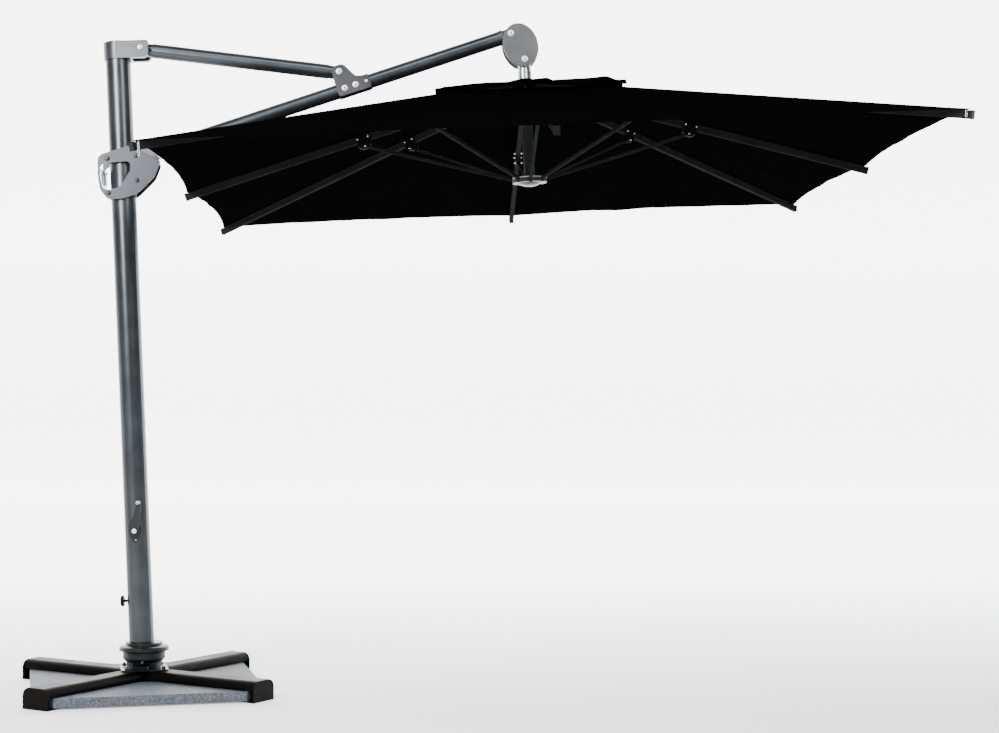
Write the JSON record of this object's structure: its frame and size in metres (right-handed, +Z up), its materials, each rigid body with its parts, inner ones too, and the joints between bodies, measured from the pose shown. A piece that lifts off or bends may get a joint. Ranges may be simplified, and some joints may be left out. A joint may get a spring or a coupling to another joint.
{
  "type": "cantilever parasol",
  "caption": "Cantilever parasol with a raked swivelling mast, sliding handle, boom and strut arm, square ribbed canopy, crank and weighted cross base.",
  "frame": {"origin": "centre of the base's underside, on the ground, on the mast's swivel axis", "axes": "+X from the mast towards the canopy, +Z up"},
  "size_m": [3.7788, 3.0438, 2.9212],
  "materials": {
    "leg_steel": "satin",
    "granite": "matte",
    "collar_metal": "satin",
    "bright_steel": "satin",
    "black_plastic": "matte",
    "mast_metal": "satin",
    "cap_plastic": "matte",
    "silver_plate": "satin",
    "grip_plastic": "satin",
    "bracket_metal": "satin",
    "rib_metal": "satin",
    "canopy_cloth": "matte"
  },
  "bodies": {
    "base": {"base_centre_block": "leg_steel", "base_leg_1": "leg_steel", "base_leg_2": "leg_steel", "base_leg_3": "leg_steel", "base_leg_4": "leg_steel", "leg_end_caps": "leg_steel", "granite_slab_1": "granite", "granite_slab_2": "granite", "granite_slab_3": "granite", "granite_slab_4": "granite", "base_bolts": "bright_steel", "swivel_housing": "collar_metal"},
    "foot_pedal": {"foot_pedal": "black_plastic"},
    "mast": {"mast_flange": "collar_metal", "mast_tube": "mast_metal", "mast_cap": "cap_plastic", "mast_fasteners": "bright_steel", "winch_cover": "black_plastic"},
    "lock_pin": {"lock_pin": "black_plastic"},
    "crank": {"crank_arm": "black_plastic", "winch_spool": "bright_steel"},
    "crank_knob": {"crank_knob": "bright_steel"},
    "handle": {"handle_plate_front": "silver_plate", "handle_plate_back": "silver_plate", "guide_sleeve": "black_plastic", "handle_grip": "grip_plastic", "handle_bolts": "bright_steel"},
    "release_lever": {"release_lever": "black_plastic"},
    "strut": {"strut_arm": "mast_metal"},
    "boom": {"boom_tube": "mast_metal", "boom_end_fittings": "bracket_metal", "elbow_bracket": "bracket_metal", "boom_fasteners": "bright_steel"},
    "head": {"head_plate_front": "silver_plate", "head_plate_back": "silver_plate", "head_bolts": "bright_steel"},
    "canopy": {"hanger_neck": "bracket_metal", "lock_collar": "bracket_metal", "canopy_pole": "mast_metal", "crown_hub": "black_plastic", "canopy_fabric": "canopy_cloth", "vent_fabric": "canopy_cloth"},
    "runner": {"runner_hub": "bracket_metal"},
    "rib_1": {"rib_1": "rib_metal"},
    "rib_strut_1": {"rib_strut_1": "rib_metal"},
    "rib_2": {"rib_2": "rib_metal"},
    "rib_strut_2": {"rib_strut_2": "rib_metal"},
    "rib_3": {"rib_3": "rib_metal"},
    "rib_strut_3": {"rib_strut_3": "rib_metal"},
    "rib_4": {"rib_4": "rib_metal"},
    "rib_strut_4": {"rib_strut_4": "rib_metal"},
    "rib_5": {"rib_5": "rib_metal"},
    "rib_strut_5": {"rib_strut_5": "rib_metal"},
    "rib_6": {"rib_6": "rib_metal"},
    "rib_strut_6": {"rib_strut_6": "rib_metal"},
    "rib_7": {"rib_7": "rib_metal"},
    "rib_strut_7": {"rib_strut_7": "rib_metal"},
    "rib_8": {"rib_8": "rib_metal"},
    "rib_strut_8": {"rib_strut_8": "rib_metal"}
  },
  "joints": [
    {"name": "mast_swivel", "type": "hinge", "parent": "base", "child": "mast", "pos_m": [0, 0, 0.15], "axis": [0, 0, 1], "continuous": true},
    {"name": "pedal_press", "type": "hinge", "parent": "base", "child": "foot_pedal", "pos_m": [0, -0.0575, 0.1045], "axis": [1, 0, 0], "range_deg": [0, 3], "stiffness_Nm_per_rad": 4, "springref_deg": -5.73},
    {"name": "lock_pull", "type": "slide", "parent": "mast", "child": "lock_pin", "axis": [-0.9988, 0, -0.0488], "range_m": [0, 0.008], "stiffness_N_per_m": 400, "springref_m": -0.002},
    {"name": "crank_turn", "type": "hinge", "parent": "mast", "child": "crank", "pos_m": [-0.0347, -0.066, 0.68913], "axis": [0, -1, 0], "continuous": true},
    {"name": "knob_spin", "type": "hinge", "parent": "crank", "child": "crank_knob", "pos_m": [-0.01774, -0.09, 0.8131], "axis": [0, -1, 0], "continuous": true},
    {"name": "arm_fold", "type": "hinge", "parent": "mast", "child": "strut", "pos_m": [-0.03032, 0, 2.78985], "axis": [0, 1, 0], "range_deg": [0, 57.83], "deforming": ["canopy_fabric", "vent_fabric"]},
    {"name": "handle_slide", "type": "slide", "parent": "mast", "child": "handle", "axis": [0.0488, 0, -0.9988], "range_m": [0, 1.20001]},
    {"name": "lever_squeeze", "type": "hinge", "parent": "handle", "child": "release_lever", "pos_m": [-0.18597, 0, 2.2466], "axis": [0, 1, 0], "range_deg": [0, 3], "stiffness_Nm_per_rad": 1.5, "springref_deg": -5.73},
    {"name": "boom_fold", "type": "hinge", "parent": "strut", "child": "boom", "pos_m": [0.8322, 0, 2.69787], "axis": [0, -1, 0], "range_deg": [0, 103.63]},
    {"name": "head_level", "type": "hinge", "parent": "boom", "child": "head", "pos_m": [1.58541, 0, 2.87588], "axis": [0, 1, 0], "range_deg": [0, 45.8]},
    {"name": "canopy_tilt", "type": "hinge", "parent": "head", "child": "canopy", "pos_m": [1.64701, 0, 2.76275], "axis": [0, -1, 0], "range_deg": [-3, 20]},
    {"name": "runner_slide", "type": "slide", "parent": "canopy", "child": "runner", "axis": [0.0488, 0, -0.9988], "range_m": [0, 0.96774]},
    {"name": "rib_fold_1", "type": "hinge", "parent": "canopy", "child": "rib_1", "pos_m": [1.71309, 0, 2.63984], "axis": [0, 1, 0], "range_deg": [0, 67.79]},
    {"name": "rib_strut_fold_1", "type": "hinge", "parent": "rib_1", "child": "rib_strut_1", "pos_m": [2.38088, 0, 2.44565], "axis": [0, -1, 0], "range_deg": [0, 139.46]},
    {"name": "rib_fold_2", "type": "hinge", "parent": "canopy", "child": "rib_2", "pos_m": [1.69554, 0.04243, 2.63898], "axis": [-0.7063, 0.7071, -0.0345], "range_deg": [0, 69.3]},
    {"name": "rib_strut_fold_2", "type": "hinge", "parent": "rib_2", "child": "rib_strut_2", "pos_m": [2.17008, 0.50928, 2.49318], "axis": [0.7063, -0.7071, 0.0345], "range_deg": [0, 133.53]},
    {"name": "rib_fold_3", "type": "hinge", "parent": "canopy", "child": "rib_3", "pos_m": [1.65316, 0.06, 2.63691], "axis": [-0.9988, 0, -0.0488], "range_deg": [0, 67.79]},
    {"name": "rib_strut_fold_3", "type": "hinge", "parent": "rib_3", "child": "rib_strut_3", "pos_m": [1.66423, 0.71751, 2.4106], "axis": [0.9988, 0, 0.0488], "range_deg": [0, 139.46]},
    {"name": "rib_fold_4", "type": "hinge", "parent": "canopy", "child": "rib_4", "pos_m": [1.61079, 0.04243, 2.63483], "axis": [-0.7063, -0.7071, -0.0345], "range_deg": [0, 69.3]},
    {"name": "rib_strut_fold_4", "type": "hinge", "parent": "rib_4", "child": "rib_strut_4", "pos_m": [1.15274, 0.50928, 2.44342], "axis": [0.7063, 0.7071, 0.0345], "range_deg": [0, 133.53]},
    {"name": "rib_fold_5", "type": "hinge", "parent": "canopy", "child": "rib_5", "pos_m": [1.59323, 0, 2.63397], "axis": [0, -1, 0], "range_deg": [0, 67.79]},
    {"name": "rib_strut_fold_5", "type": "hinge", "parent": "rib_5", "child": "rib_strut_5", "pos_m": [0.94758, 0, 2.37555], "axis": [0, 1, 0], "range_deg": [0, 139.46]},
    {"name": "rib_fold_6", "type": "hinge", "parent": "canopy", "child": "rib_6", "pos_m": [1.61079, -0.04243, 2.63483], "axis": [0.7063, -0.7071, 0.0345], "range_deg": [0, 69.3]},
    {"name": "rib_strut_fold_6", "type": "hinge", "parent": "rib_6", "child": "rib_strut_6", "pos_m": [1.15274, -0.50928, 2.44342], "axis": [-0.7063, 0.7071, -0.0345], "range_deg": [0, 133.53]},
    {"name": "rib_fold_7", "type": "hinge", "parent": "canopy", "child": "rib_7", "pos_m": [1.65316, -0.06, 2.63691], "axis": [0.9988, 0, 0.0488], "range_deg": [0, 67.79]},
    {"name": "rib_strut_fold_7", "type": "hinge", "parent": "rib_7", "child": "rib_strut_7", "pos_m": [1.66423, -0.71751, 2.4106], "axis": [-0.9988, 0, -0.0488], "range_deg": [0, 139.46]},
    {"name": "rib_fold_8", "type": "hinge", "parent": "canopy", "child": "rib_8", "pos_m": [1.69554, -0.04243, 2.63898], "axis": [0.7063, 0.7071, 0.0345], "range_deg": [0, 69.3]},
    {"name": "rib_strut_fold_8", "type": "hinge", "parent": "rib_8", "child": "rib_strut_8", "pos_m": [2.17008, -0.50928, 2.49318], "axis": [-0.7063, -0.7071, -0.0345], "range_deg": [0, 133.53]}
  ],
  "couplings": [
    {"joint": "handle_slide", "follows": "arm_fold", "m_per_rad": 1.1889},
    {"joint": "boom_fold", "follows": "arm_fold", "ratio": 1.7919},
    {"joint": "head_level", "follows": "arm_fold", "ratio": 0.79192},
    {"joint": "runner_slide", "follows": "arm_fold", "m_per_rad": 0.95877},
    {"joint": "rib_fold_1", "follows": "arm_fold", "ratio": 1.1722},
    {"joint": "rib_strut_fold_1", "follows": "arm_fold", "ratio": 2.4115},
    {"joint": "rib_fold_2", "follows": "arm_fold", "ratio": 1.1983},
    {"joint": "rib_strut_fold_2", "follows": "arm_fold", "ratio": 2.3089},
    {"joint": "rib_fold_3", "follows": "arm_fold", "ratio": 1.1722},
    {"joint": "rib_strut_fold_3", "follows": "arm_fold", "ratio": 2.4115},
    {"joint": "rib_fold_4", "follows": "arm_fold", "ratio": 1.1983},
    {"joint": "rib_strut_fold_4", "follows": "arm_fold", "ratio": 2.3089},
    {"joint": "rib_fold_5", "follows": "arm_fold", "ratio": 1.1722},
    {"joint": "rib_strut_fold_5", "follows": "arm_fold", "ratio": 2.4115},
    {"joint": "rib_fold_6", "follows": "arm_fold", "ratio": 1.1983},
    {"joint": "rib_strut_fold_6", "follows": "arm_fold", "ratio": 2.3089},
    {"joint": "rib_fold_7", "follows": "arm_fold", "ratio": 1.1722},
    {"joint": "rib_strut_fold_7", "follows": "arm_fold", "ratio": 2.4115},
    {"joint": "rib_fold_8", "follows": "arm_fold", "ratio": 1.1983},
    {"joint": "rib_strut_fold_8", "follows": "arm_fold", "ratio": 2.3089}
  ]
}
